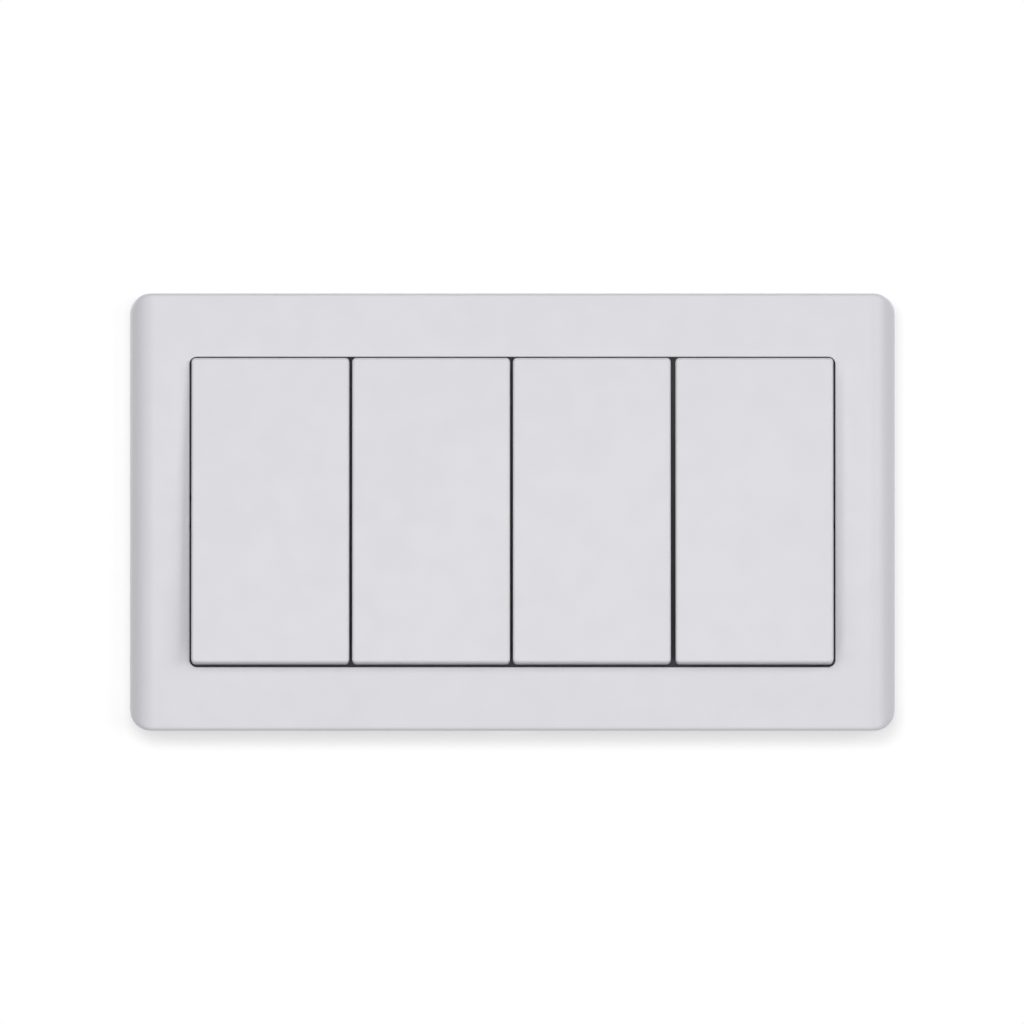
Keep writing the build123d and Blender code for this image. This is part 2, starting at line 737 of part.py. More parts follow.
# Copy each gang's pieces to their places, turned to rest, and write every piece to its own file
os.makedirs("parts", exist_ok=True)
gang_pieces = {
    "rocker": rocker,
    "dolly": dolly,
    "plunger": plunger,
    "plunger_spring": plunger_spring,
    "contact_bridge": contact_bridge,
    "moving_contacts": moving_contacts,
    "common_terminal": common_terminal,
    "upper_terminal": upper_terminal,
    "lower_terminal": lower_terminal,
    "fixed_contacts": fixed_contacts,
    "terminal_screws": terminal_screws,
    "mechanism_housing": mechanism_housing,
    "mechanism_cover": mechanism_cover,
}
turned = {name: (rocker_axis, -rocker_tilt) for name in ("rocker", "dolly", "plunger", "plunger_spring")}
turned.update({name: (blade_axis, blade_tilt) for name in ("contact_bridge", "moving_contacts")})
for name, piece in gang_pieces.items():
    at_rest = piece.part.rotate(*turned[name]) if name in turned else piece.part
    for number, place in enumerate(gang_places, 1):
        copy = at_rest.moved(Location((place, 0, 0)))
        copy.label = f"{name}_{number}"
        export_step(copy, f"parts/{copy.label}.step")

front_frame.part.label = "front_frame"
export_step(front_frame.part, "parts/front_frame.step")
mounting_plate.part.label = "mounting_plate"
export_step(mounting_plate.part, "parts/mounting_plate.step")
fixing_screws.part.label = "fixing_screws"
export_step(fixing_screws.part, "parts/fixing_screws.step")
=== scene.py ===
"""Looks of a four-gang rocker light switch, laid out as an add-on and run as a script.

Everything is in metres in the packed part's own frame: X to the right, Y into the wall, Z up.
The wall's face is the plane y = 0, and the plate stands in front of it at negative y.
"""

import json
import math

import bmesh
import bpy
from bpy.props import FloatProperty, FloatVectorProperty, IntProperty, PointerProperty
from mathutils import Matrix, Vector


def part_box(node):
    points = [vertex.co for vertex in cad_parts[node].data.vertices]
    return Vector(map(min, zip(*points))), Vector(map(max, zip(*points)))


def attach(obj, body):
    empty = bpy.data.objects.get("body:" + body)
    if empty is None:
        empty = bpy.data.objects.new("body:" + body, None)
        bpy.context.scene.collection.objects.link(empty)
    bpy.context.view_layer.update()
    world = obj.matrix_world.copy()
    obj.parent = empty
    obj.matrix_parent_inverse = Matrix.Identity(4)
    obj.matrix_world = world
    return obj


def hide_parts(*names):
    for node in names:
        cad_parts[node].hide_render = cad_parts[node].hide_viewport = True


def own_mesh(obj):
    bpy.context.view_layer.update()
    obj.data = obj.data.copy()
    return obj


bl_info = {
    "name": "Four-gang light switch",
    "version": (1, 0, 0),
    "blender": (4, 5, 0),
    "location": "View3D > Sidebar > Switch",
    "description": "Makes the plate, rockers, screws, springs and finishes of a wall switch",
    "category": "Object",
}

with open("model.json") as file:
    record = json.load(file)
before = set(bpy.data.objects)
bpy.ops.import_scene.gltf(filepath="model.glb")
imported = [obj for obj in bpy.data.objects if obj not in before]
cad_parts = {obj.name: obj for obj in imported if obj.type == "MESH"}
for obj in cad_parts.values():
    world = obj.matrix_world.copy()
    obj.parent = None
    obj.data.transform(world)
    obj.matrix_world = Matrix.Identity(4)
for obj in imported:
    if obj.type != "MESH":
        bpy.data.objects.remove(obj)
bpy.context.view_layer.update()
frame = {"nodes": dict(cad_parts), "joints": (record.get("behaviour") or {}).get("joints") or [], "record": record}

MM = 0.001
GANGS = (1, 2, 3, 4)
SIDES = (-1, 1)
# faces that meet at less than this are shaded as one surface
SMOOTH_ANGLE = math.radians(32)
# how far an added part is sunk into the piece that it joins
BURY = 0.3 * MM


# ---- settings that a user may change


def size_mm(name, description, millimetres):
    """A size, given in millimetres and kept in metres."""
    return FloatProperty(
        name=name, description=description, default=millimetres * MM, unit="LENGTH"
    )


def angle_deg(name, description, degrees):
    """An angle, given in degrees and kept in radians."""
    return FloatProperty(
        name=name,
        description=description,
        default=math.radians(degrees),
        subtype="ANGLE",
        unit="ROTATION",
    )


def number(name, description, default):
    """A plain number."""
    return FloatProperty(name=name, description=description, default=default)


def power_w(name, description, watts):
    """The power of a lamp."""
    return FloatProperty(name=name, description=description, default=watts, unit="POWER")


def colour_rgb(name, description, default):
    """A colour of three numbers from 0 to 1."""
    return FloatVectorProperty(
        name=name,
        description=description,
        default=default,
        subtype="COLOR",
        size=3,
        min=0.0,
        max=1.0,
    )


class PlateSizes(bpy.types.PropertyGroup):
    """Sizes of the front plate."""

    side_rail: size_mm("Side rail", "Width of the plate beside the rockers", 11.4)
    end_rail: size_mm("End rail", "Height of the plate above and below the rockers", 12.1)
    depth: size_mm("Depth", "How far the plate stands off the wall", 9.0)
    wall: size_mm("Wall thickness", "Thickness of the moulding", 1.8)
    corner: size_mm("Corner radius", "Radius of the plate's four corners", 4.0)
    edge: size_mm("Edge radius", "Small round along the plate's front edges", 0.6)
    roll_radius: size_mm(
        "Side roll radius", "Radius by which the plate's left and right sides roll back", 5.2
    )
    roll_width: size_mm("Side roll width", "Width of the rolled strip on the left and right", 4.8)
    scoop_radius: size_mm("Dip radius", "Radius of the soft dip beside the outer rockers", 4.2)
    scoop_width: size_mm("Dip width", "Width of the soft dip beside the outer rockers", 2.4)
    scoop_slope: angle_deg(
        "Dip slope", "Steepest angle of the soft dip beside the outer rockers", 17.0
    )
    window_edge: size_mm("Window edge radius", "Small round along the window's edge", 0.12)
    window_corner: size_mm(
        "Window corner radius", "Corner radius of the opening for the rockers", 1.4
    )
    lip_wall: size_mm("Lip thickness", "Thickness of the lip behind the window's edge", 1.4)
    lip_height: size_mm("Lip height", "How far the lip reaches back from the front surface", 3.4)


class RockerSizes(bpy.types.PropertyGroup):
    """Sizes of one rocker."""

    reach: size_mm("Reach", "From the pivot axis up and down to the end walls", 29.15)
    face: size_mm("Face height", "From the pivot axis to the level face", 5.0)
    face_wall: size_mm("Face thickness", "Thickness of the rocker's face", 1.8)
    wall: size_mm("Wall thickness", "Thickness of the rocker's side and end walls", 1.4)
    skirt: size_mm("Skirt", "How far the walls reach behind the pivot axis", 1.2)
    corner: size_mm("Corner radius", "Radius of the face's four corners", 0.8)
    edge: size_mm("Edge radius", "Small round along the face's edges", 0.5)
    tilt: angle_deg("Tilt", "Angle by which a rocker rests off level, lower end out", 4.0)


class ScrewSizes(bpy.types.PropertyGroup):
    """Sizes of the screws."""

    fixing_radius: size_mm(
        "Fixing screw radius", "Outside radius of the fixing screws' thread", 1.75
    )
    fixing_pitch: size_mm("Fixing screw pitch", "Pitch of the fixing screws' thread", 0.6)
    fixing_slot: size_mm("Fixing screw slot", "Width of the slot in the fixing screws' heads", 0.9)
    fixing_turn: angle_deg("Slot angle", "Angle at which the fixing screws' slots were left", 30.0)
    terminal_radius: size_mm(
        "Terminal screw radius", "Outside radius of the terminal screws' thread", 1.4
    )
    terminal_pitch: size_mm("Terminal screw pitch", "Pitch of the terminal screws' thread", 0.5)
    terminal_head: size_mm("Terminal screw head", "Radius of the terminal screws' heads", 2.3)


class SpringSizes(bpy.types.PropertyGroup):
    """Sizes of the plungers' springs."""

    start: size_mm(
        "Start", "From the pivot axis back to the middle of the first turn's wire", 3.4
    )
    length: size_mm(
        "Length", "From the middle of the first turn's wire to the middle of the last", 2.8
    )
    radius: size_mm("Radius", "From the spring's axis to the middle of its wire", 1.15)
    wire: size_mm("Wire radius", "Radius of the spring's wire", 0.19)
    turns: number("Turns", "Number of turns, with the closed one at each end", 5.5)


class FinishColours(bpy.types.PropertyGroup):
    """Colours of the finishes."""

    white: colour_rgb("White plastic", "Colour of the plate and the rockers", (0.72, 0.712, 0.75))
    dark: colour_rgb("Dark plastic", "Colour of the chassis", (0.24, 0.24, 0.248))
    grey: colour_rgb("Grey plastic", "Colour of the mechanism housings", (0.5, 0.5, 0.49))
    nylon: colour_rgb("Natural nylon", "Colour of the plungers", (0.75, 0.72, 0.64))
    brass: colour_rgb("Brass", "Colour of the terminals and the contact blades", (0.80, 0.60, 0.30))
    steel: colour_rgb(
        "Plated steel",
        "Colour of the terminal screws and, darker, the springs",
        (0.66, 0.66, 0.68),
    )
    blackened: colour_rgb("Blackened steel", "Colour of the fixing screws", (0.085, 0.085, 0.09))
    silver: colour_rgb("Silver", "Colour of the contact buttons", (0.86, 0.86, 0.84))


class StageSettings(bpy.types.PropertyGroup):
    """Camera and light."""

    camera_distance: size_mm("Camera distance", "From the camera to the wall", 4000.0)
    plate_pixels: number(
        "Plate width in the picture", "Width of the plate, in the picture's pixels", 765.4
    )
    picture_pixels: IntProperty(
        name="Picture width",
        description="Width of the picture in pixels",
        default=1024,
    )
    plate_centre_px: number(
        "Plate centre across", "From the picture's left edge to the plate's middle", 512.4
    )
    front_power: power_w("Front box", "Power of the broad soft box at the camera", 6.85)
    left_power: power_w("Left box", "Power of the soft box on the left of the camera", 1.9)
    right_power: power_w("Right box", "Power of the soft box on the right of the camera", 4.4)
    back_power: power_w(
        "Back boxes", "Power of each soft box behind the wall, which light the mechanisms", 9.0
    )
    wash_power: power_w(
        "Wall wash", "Power of the soft box above, which lights only the wall", 4.1
    )
    ambient: number("Ambient", "Strength of the even light from all round", 0.27)


# ---- mesh helpers


def rounded_outline(half_w, half_h, radius, per_side=24, per_corner=8):
    """Points (x, z) anticlockwise round a rectangle with rounded corners, seen from the room."""
    points = []
    corners = ((1, 1, 0), (-1, 1, 90), (-1, -1, 180), (1, -1, 270))
    for index, (sx, sz, start) in enumerate(corners):
        cx, cz = sx * (half_w - radius), sz * (half_h - radius)
        for step in range(per_corner + 1):
            angle = math.radians(start + 90 * step / per_corner)
            points.append((cx + radius * math.cos(angle), cz + radius * math.sin(angle)))
        next_sx, next_sz, _ = corners[(index + 1) % 4]
        angle = math.radians(start + 90)
        next_x = next_sx * (half_w - radius) + radius * math.cos(angle)
        next_z = next_sz * (half_h - radius) + radius * math.sin(angle)
        last_x, last_z = points[-1]
        for step in range(1, per_side):
            share = step / per_side
            points.append((last_x + (next_x - last_x) * share, last_z + (next_z - last_z) * share))
    return points


def quarter_turn(steps, first=0):
    """The angles of a quarter turn in even steps."""
    return [math.radians(90 * step / steps) for step in range(first, steps + 1)]


def quarter_round(radius, y, across, along, steps):
    """Profile points of a quarter round that ends at a radius and y, for a turned piece."""
    return [
        (radius - across + across * math.sin(angle), y + along * math.cos(angle))
        for angle in quarter_turn(steps)
    ]


def join_rings(bm, first, second):
    """Quads between two rings that have the same number of points."""
    count = len(first)
    for i in range(count):
        j = (i + 1) % count
        bm.faces.new((first[i], first[j], second[j], second[i]))


def add_rings(bm, rings, closed=False, cap_first=False, cap_last=False):
    """Joins rings of points in order, and closes or caps the ends."""
    made = [[bm.verts.new(p) for p in ring] for ring in rings]
    for first, second in zip(made, made[1:]):
        join_rings(bm, first, second)
    if closed:
        join_rings(bm, made[-1], made[0])
    if cap_first:
        bm.faces.new(list(reversed(made[0])))
    if cap_last:
        bm.faces.new(made[-1])


def add_prism(bm, outline, low, high, axis="X"):
    """A closed prism along X with the outline (y, z), or along Z with the outline (x, y)."""
    ends = []
    for end in (low, high):
        points = [(end, *p) if axis == "X" else (*p, end) for p in outline]
        ends.append([bm.verts.new(point) for point in points])
    join_rings(bm, *ends)
    bm.faces.new(list(reversed(ends[0])))
    bm.faces.new(ends[1])


def add_box(bm, low, high):
    """A closed box between two corners."""
    outline = [(low[1], low[2]), (high[1], low[2]), (high[1], high[2]), (low[1], high[2])]
    add_prism(bm, outline, low[0], high[0])


def add_lathe(bm, profile, centre, segments):
    """A turned solid about a line along Y; its profile of (radius, y) starts and ends on it."""
    x, z = centre
    tip, end = (bm.verts.new((x, y, z)) for _, y in (profile[0], profile[-1]))
    rings = []
    for radius, y in profile[1:-1]:
        ring = []
        for step in range(segments):
            angle = 2 * math.pi * step / segments
            across, up = radius * math.cos(angle), radius * math.sin(angle)
            ring.append(bm.verts.new((x + across, y, z + up)))
        rings.append(ring)
    for first, second in zip(rings, rings[1:]):
        join_rings(bm, first, second)
    for i in range(segments):
        j = (i + 1) % segments
        bm.faces.new((tip, rings[0][i], rings[0][j]))
        bm.faces.new((end, rings[-1][j], rings[-1][i]))


def add_thread(bm, centre, start, end, radius, pitch, segments=32, per_pitch=8):
    """A threaded rod along Y, whose thread fades in at the start and tapers at the end."""
    x, z = centre
    depth = 0.6 * pitch
    # shares of a pitch: the flat root, each flank, and how far the end's taper goes in
    root, flank, taper = 0.12, 0.7, 0.25
    count = round(abs(end - start) / pitch * per_pitch)
    profile = []
    for step in range(count + 1):
        y = start + (end - start) * step / count
        from_start, from_end = abs(y - start) / pitch, abs(end - y) / pitch
        ring = []
        for place in range(segments):
            angle = 2 * math.pi * place / segments
            phase = (step / per_pitch - place / segments) % 1.0
            ridge = max(0.0, min(1.0, (abs(2 * phase - 1) - root) / flank))
            ridge *= min(1.0, from_start) * min(1.0, from_end)
            at = radius - depth + depth * ridge - taper * depth * max(0.0, 1 - from_end)
            ring.append((x + at * math.cos(angle), y, z + at * math.sin(angle)))
        profile.append(ring)
    add_rings(bm, profile, cap_first=True, cap_last=True)


def smooth(mesh, smooth_angle=SMOOTH_ANGLE):
    """Smooth shading, with a sharp edge where two faces meet at more than an angle."""
    mesh.shade_smooth()
    mesh.set_sharp_from_angle(angle=smooth_angle)


def mesh_from(bm, name, material):
    """A mesh of a bmesh's closed shells, with one material."""
    bmesh.ops.recalc_face_normals(bm, faces=bm.faces)
    mesh = bpy.data.meshes.new(name)
    bm.to_mesh(mesh)
    bm.free()
    mesh.materials.append(material)
    return mesh


def object_of(data, name):
    """An object of the scene, of a mesh, lamp or camera."""
    made = bpy.data.objects.new(name, data)
    bpy.context.scene.collection.objects.link(made)
    return made


def piece_from(bm, name, material, smooth_angle=SMOOTH_ANGLE):
    """A smooth-shaded piece of a bmesh's closed shells."""
    mesh = mesh_from(bm, name, material)
    smooth(mesh, smooth_angle)
    return object_of(mesh, name)


def combine(piece, other_bm, operation):
    """Adds another solid to a piece or takes it away, and keeps the result as its mesh."""
    other = object_of(mesh_from(other_bm, "other", piece.data.materials[0]), "other")
    modifier = piece.modifiers.new("combine", "BOOLEAN")
    modifier.operation = operation
    modifier.solver = "EXACT"
    modifier.use_self = True
    modifier.object = other
    bpy.context.view_layer.update()
    graph = bpy.context.evaluated_depsgraph_get()
    result = bpy.data.meshes.new_from_object(piece.evaluated_get(graph))
    piece.modifiers.clear()
    piece.data = result
    bpy.data.objects.remove(other)
    smooth(result)


def join_in(piece, bm):
    """Adds a bmesh's closed shells to a piece."""
    bmesh.ops.recalc_face_normals(bm, faces=bm.faces)
    bm.from_mesh(piece.data)
    bm.to_mesh(piece.data)
    bm.free()
    smooth(piece.data)


def add_slot(bm, centre, y, depth, length, width, turn):
    """A box across a screw's head, from the head's face inwards, turned about the screw's axis."""
    x, z = centre
    low_y, high_y = sorted((y, y + depth))
    start = len(bm.verts)
    add_box(bm, (-length / 2, low_y, -width / 2), (length / 2, high_y, width / 2))
    bm.verts.ensure_lookup_table()
    place = Matrix.Translation((x, 0, z)) @ Matrix.Rotation(turn, 4, "Y")
    bmesh.ops.transform(bm, matrix=place, verts=bm.verts[start:])


def roll_drop(distance, radius):
    """How far an arc has fallen at a distance past its crest."""
    distance = max(0.0, min(distance, radius * 0.9999))
    return radius - math.sqrt(radius * radius - distance * distance)


def dip_drop(distance, radius, slope):
    """How far a dip has fallen at a distance into it: an arc, then a straight slope."""
    bent = min(distance, radius * math.sin(slope))
    return roll_drop(bent, radius) + (distance - bent) * math.tan(slope)


def smooth_step(value):
    """An even fade from 0 to 1."""
    value = max(0.0, min(1.0, value))
    return value * value * (3 - 2 * value)


def resting(gang):
    """Where a gang's own frame rests: at the pivot of the rocker's joint, lower end out."""
    tilt = bpy.context.scene.switch_rocker.tilt
    for joint in frame["joints"]:
        if joint["name"] == f"rocker_{gang}_tilt":
            pivot = Vector(joint["pos_m"])
            return Matrix.Translation(pivot) @ Matrix.Rotation(-tilt, 4, "X")
    raise RuntimeError(f"the part has no joint for rocker {gang}")


# ---- materials

# the part of a noise's range that a ramp stretches over its own
NOISE_LOW, NOISE_HIGH = 0.35, 0.65
# waves to the metre: a plastic's clouds and sheen, a metal's tarnish and lines
CLOUDS, SHEEN, TARNISH, LINES = 38.0, 210.0, 420.0, 2600.0
# height of a metal's lines, in metres
LINE_HEIGHT = 0.000004


def cleared_tree(owner):
    """The node tree of a material or world, emptied."""
    owner.use_nodes = True
    owner.node_tree.nodes.clear()
    return owner.node_tree


def add_node(tree, kind, inputs=None, **settings):
    """Adds a node; each input takes a number, a socket, or a node's first output."""
    node = tree.nodes.new(f"ShaderNode{kind}")
    for name, value in settings.items():
        setattr(node, name, value)
    for socket, value in (inputs or {}).items():
        if isinstance(value, bpy.types.Node):
            value = value.outputs[0]
        if isinstance(value, bpy.types.NodeSocket):
            tree.links.new(value, node.inputs[socket])
        else:
            node.inputs[socket].default_value = value
    return node


class Finish:
    """A material under construction: a Principled shader and short ways to feed it."""

    def __init__(self, name, **values):
        self.tree = cleared_tree(bpy.data.materials.get(name) or bpy.data.materials.new(name))
        inputs = {socket.replace("_", " "): value for socket, value in values.items()}
        self.shader = add_node(self.tree, "BsdfPrincipled", inputs)
        add_node(self.tree, "OutputMaterial", {"Surface": self.shader.outputs["BSDF"]})
        self.place = add_node(self.tree, "TexCoord").outputs["Object"]

    def noise(self, scale, detail=2.0, roughness=0.5, stretch=None):
        """A noise of so many waves to the metre, stretched along its axes if wanted."""
        place = self.place
        if stretch is not None:
            mapping = add_node(self.tree, "Mapping", {"Vector": place, "Scale": stretch})
            place = mapping.outputs["Vector"]
        inputs = {"Vector": place, "Scale": scale, "Detail": detail, "Roughness": roughness}
        return add_node(self.tree, "TexNoise", inputs).outputs["Fac"]

    def ramp(self, source, low, high):
        """Maps a noise to a range of numbers."""
        inputs = {"Value": source, "From Min": NOISE_LOW, "From Max": NOISE_HIGH}
        inputs.update({"To Min": low, "To Max": high})
        return add_node(self.tree, "MapRange", inputs).outputs["Result"]

    def colours(self, source, first, second):
        """Maps a noise to a mix of two colours and feeds the base colour."""
        node = add_node(self.tree, "ValToRGB", {"Fac": source})
        ends = ((NOISE_LOW, first), (NOISE_HIGH, second))
        for element, (position, colour) in zip(node.color_ramp.elements, ends):
            element.position = position
            element.color = (*colour, 1.0)
        self.feed("Base Color", node.outputs["Color"])

    def feed(self, socket, source):
        """Links a source to one of the shader's sockets."""
        self.tree.links.new(source, self.shader.inputs[socket])

    def bump(self, source, height):
        """Raises the surface by a noise, to a height in metres."""
        node = add_node(self.tree, "Bump", {"Height": source, "Strength": 1.0, "Distance": height})
        self.feed("Normal", node.outputs["Normal"])


def shade(colour, factor):
    """A colour made lighter or darker."""
    return tuple(min(1.0, c * factor) for c in colour)


def grey(tone):
    """A neutral colour with the alpha that a shader's socket wants."""
    return (tone, tone, tone, 1.0)


def moulded_plastic(name, colour, roughness, grain_scale, grain_height, spread):
    """Moulded plastic: faint clouds in its colour, an uneven sheen and a fine moulding grain."""
    finish = Finish(name, IOR=1.5, Specular_IOR_Level=0.5)
    clouds = finish.noise(CLOUDS)
    finish.colours(clouds, shade(colour, 1 - spread), shade(colour, 1 + spread))
    sheen = finish.noise(SHEEN, detail=3.0)
    finish.feed("Roughness", finish.ramp(sheen, roughness - 0.03, roughness + 0.03))
    grain = finish.noise(grain_scale, roughness=0.6)
    finish.bump(grain, grain_height)


def rolled_metal(name, colour, roughness, stretch, spread):
    """Sheet metal or drawn wire: fine lines along one direction and a little tarnish."""
    finish = Finish(name, Metallic=1.0)
    tarnish = finish.noise(TARNISH, detail=4.0)
    finish.colours(tarnish, shade(colour, 1 - spread), shade(colour, 1 + spread))
    lines = finish.noise(LINES, stretch=stretch)
    finish.feed("Roughness", finish.ramp(lines, roughness - 0.04, roughness + 0.06))
    finish.bump(lines, LINE_HEIGHT)


# by the record's slot, or a name of our own for the one finish that has none:
# material, colour, its shade, roughness, grain per metre, height of the grain, spread
PLASTICS = {
    "frame_white": ("plate_white", "white", 1.0, 0.38, 5200.0, 0.0000015, 0.006),
    "rocker_white": ("rocker_white", "white", 1.0, 0.36, 5200.0, 0.0000015, 0.006),
    "chassis_grey": ("chassis_dark", "dark", 1.0, 0.55, 3400.0, 0.000008, 0.08),
    "housing_grey": ("housing_grey", "grey", 1.0, 0.5, 3400.0, 0.000006, 0.04),
    "dolly_grey": ("dolly_dark", "dark", 0.8, 0.42, 3400.0, 0.000004, 0.06),
    "nylon_natural": ("nylon_natural", "nylon", 1.0, 0.42, 2600.0, 0.000003, 0.03),
}
# material, colour, its shade, roughness, how the lines are stretched, spread
METALS = {
    "spring_steel": ("spring_wire", "steel", 0.8, 0.3, (1.0, 0.2, 1.0), 0.06),
    "brass_blade": ("blade_brass", "brass", 1.0, 0.3, (1.0, 1.0, 0.08), 0.06),
    "terminal_brass": ("terminal_brass", "brass", 1.0, 0.34, (1.0, 1.0, 0.1), 0.06),
    "contact_silver": ("contact_silver", "silver", 1.0, 0.28, (1.0, 1.0, 1.0), 0.03),
    "plated_steel": ("plated_steel", "steel", 1.0, 0.32, (1.0, 0.3, 1.0), 0.03),
    "blackened": ("blackened_steel", "blackened", 1.0, 0.4, (1.0, 0.3, 1.0), 0.03),
}


def make_finishes():
    """One material for each line of the two tables."""
    colours = bpy.context.scene.switch_colours
    for table, maker in ((PLASTICS, moulded_plastic), (METALS, rolled_metal)):
        for name, colour, factor, *values in table.values():
            maker(name, shade(getattr(colours, colour), factor), *values)


def finish_for(slot):
    """The material made for a slot."""
    return bpy.data.materials[{**PLASTICS, **METALS}[slot][0]]


def slot_of(node):
    """The record's material slot of a node."""
    for row in frame["record"]["subparts"]:
        if row["node"] == node:
            return row["material_slot"]
    raise RuntimeError(f"the record has no material slot for {node}")


# ---- operators, one for each piece or group of like pieces


class SWITCH_OT_finishes(bpy.types.Operator):
    """Makes the finishes and gives every carried-over node its own"""

    bl_idname = "switch.finishes"
    bl_label = "Finishes"

    softened = ("chassis_grey", "housing_grey", "dolly_grey")
    soft_edge = 0.12 * MM
    merge_distance = 0.004 * MM
    edge_angle = math.radians(40)

    def execute(self, context):
        make_finishes()
        for name, node in frame["nodes"].items():
            slot = slot_of(name)
            node.data.materials.clear()
            node.data.materials.append(finish_for(slot))
            if slot in self.softened:
                joined = node.modifiers.new("joined edges", "WELD")
                joined.merge_threshold = self.merge_distance
                soft = node.modifiers.new("soft edges", "BEVEL")
                soft.width = self.soft_edge
                soft.segments = 2
                soft.limit_method = "ANGLE"
                soft.angle_limit = self.edge_angle
                soft.harden_normals = True
        return {"FINISHED"}


class SWITCH_OT_front_plate(bpy.types.Operator):
    """Makes the front plate, with its rolled sides, lip, ribs, legs and notch"""

    bl_idname = "switch.front_plate"
    bl_label = "Front plate"

    # rings across each zone of the plate's section, from the window outwards and back inside
    window_steps, round_steps, dip_steps, flat_steps = 4, 4, 8, 6
    roll_steps, edge_steps, inside_steps = 18, 6, 12
    # height over which the dips fade out at the window's corners
    dip_fade = 2.2 * MM
    # the inside of the rolled sides stops this far in front of the rear rim
    rim_depth = 0.5 * MM
    ribs, rib = 5, 1.0 * MM
    leg_place, leg_width, leg_wall = 38.0 * MM, 7.0 * MM, 1.3 * MM
    # room between the legs and the chassis, and the barbs that hold it
    leg_room, barb, barb_front, barb_back = 0.25 * MM, 0.8 * MM, -1.6 * MM, -0.4 * MM
    # the notch, and how many walls' thickness its cutter reaches in from the edge
    notch_half, notch_depth, notch_reach = 4.0 * MM, 1.0 * MM, 1.5

    def execute(self, context):
        size = context.scene.switch_plate
        low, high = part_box("front_frame")
        half_w, half_h = (high.x - low.x) / 2, (high.z - low.z) / 2
        shell = self.shell(size, half_w, half_h)
        plate = piece_from(shell, "front_plate", finish_for("frame_white"))
        combine(plate, self.ribs_and_legs(size, half_w, half_h), "UNION")
        combine(plate, self.notch(size, low.z), "DIFFERENCE")
        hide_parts("front_frame")
        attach(plate, "base")
        return {"FINISHED"}

    def shell(self, size, half_w, half_h):
        """The moulding, a closed row of rings round the window."""
        window_w, window_h = half_w - size.side_rail, half_h - size.end_rail
        front = -size.depth
        lip_end = front + size.lip_height

        def surface(x, z):
            """Depth of the front surface: rolled at the sides and dipped beside the window."""
            y = front + roll_drop(abs(x) - (half_w - size.roll_width), size.roll_radius)
            into_dip = size.scoop_width - (abs(x) - window_w)
            fade = smooth_step((window_h - size.window_corner / 2 - abs(z)) / self.dip_fade)
            if into_dip > 0 and abs(z) < window_h:
                y += fade * dip_drop(into_dip, size.scoop_radius, size.scoop_slope)
            return y

        def ceiling(x):
            """Depth of the inside, a wall's thickness behind the front surface."""
            past_flat = abs(x) - (half_w - size.roll_width)
            return front + size.wall + roll_drop(past_flat, size.roll_radius - size.wall)

        def face_ring(distance, lift=0.0):
            """A ring on the front surface at a distance outside the window."""
            share = distance / size.side_rail
            radius = size.window_corner + (size.corner - size.window_corner) * share
            ring_h = window_h + distance * size.end_rail / size.side_rail
            outline = rounded_outline(window_w + distance, ring_h, radius)
            return [(x, surface(x, z) + lift, z) for x, z in outline]

        # window wall, up to its small round
        window = rounded_outline(window_w, window_h, size.window_corner)
        rings = [[(x, lip_end, z) for x, z in window]]
        for step in range(1, self.window_steps + 1):
            share = step / self.window_steps
            rings.append([
                (x, (surface(x, z) + size.window_edge) * share + lip_end * (1 - share), z)
                for x, z in window
            ])
        for angle in quarter_turn(self.round_steps, 1):
            inset = size.window_edge * (1 - math.cos(angle))
            lift = size.window_edge * (1 - math.sin(angle))
            rings.append(face_ring(inset, lift))
        # across the dip, the flat and the roll, and round the outer edge
        flat_end = size.side_rail - size.roll_width
        edge_start = size.side_rail - size.edge
        zones = (
            (size.window_edge, size.scoop_width, self.dip_steps),
            (size.scoop_width, flat_end, self.flat_steps),
            (flat_end, edge_start, self.roll_steps),
        )
        for start, end, steps in zones:
            for step in range(1, steps + 1):
                rings.append(face_ring(start + (end - start) * step / steps))
        for angle in quarter_turn(self.edge_steps, 1):
            outward = size.edge * math.sin(angle)
            rings.append(face_ring(edge_start + outward, size.edge * (1 - math.cos(angle))))
        # outer wall, rear rim, and the inside back to the lip
        outline = rounded_outline(half_w, half_h, size.corner)
        for share in (0.5, 1.0):
            rings.append([(x, (surface(x, z) + size.edge) * (1 - share), z) for x, z in outline])
        inner = [length - size.wall for length in (half_w, half_h, size.corner)]
        lip = [length + size.lip_wall for length in (window_w, window_h, size.window_corner)]
        inside = rounded_outline(*inner)
        rings.append([(x, 0.0, z) for x, z in inside])
        rings.append([(x, min(ceiling(x), -self.rim_depth), z) for x, z in inside])
        for step in range(1, self.inside_steps + 1):
            share = step / self.inside_steps
            shape = [start + (end - start) * share for start, end in zip(inner, lip)]
            rings.append([(x, ceiling(x), z) for x, z in rounded_outline(*shape)])
        rings.append([(x, lip_end, z) for x, z in rounded_outline(*lip)])
        bm = bmesh.new()
        add_rings(bm, rings, closed=True)
        return bm

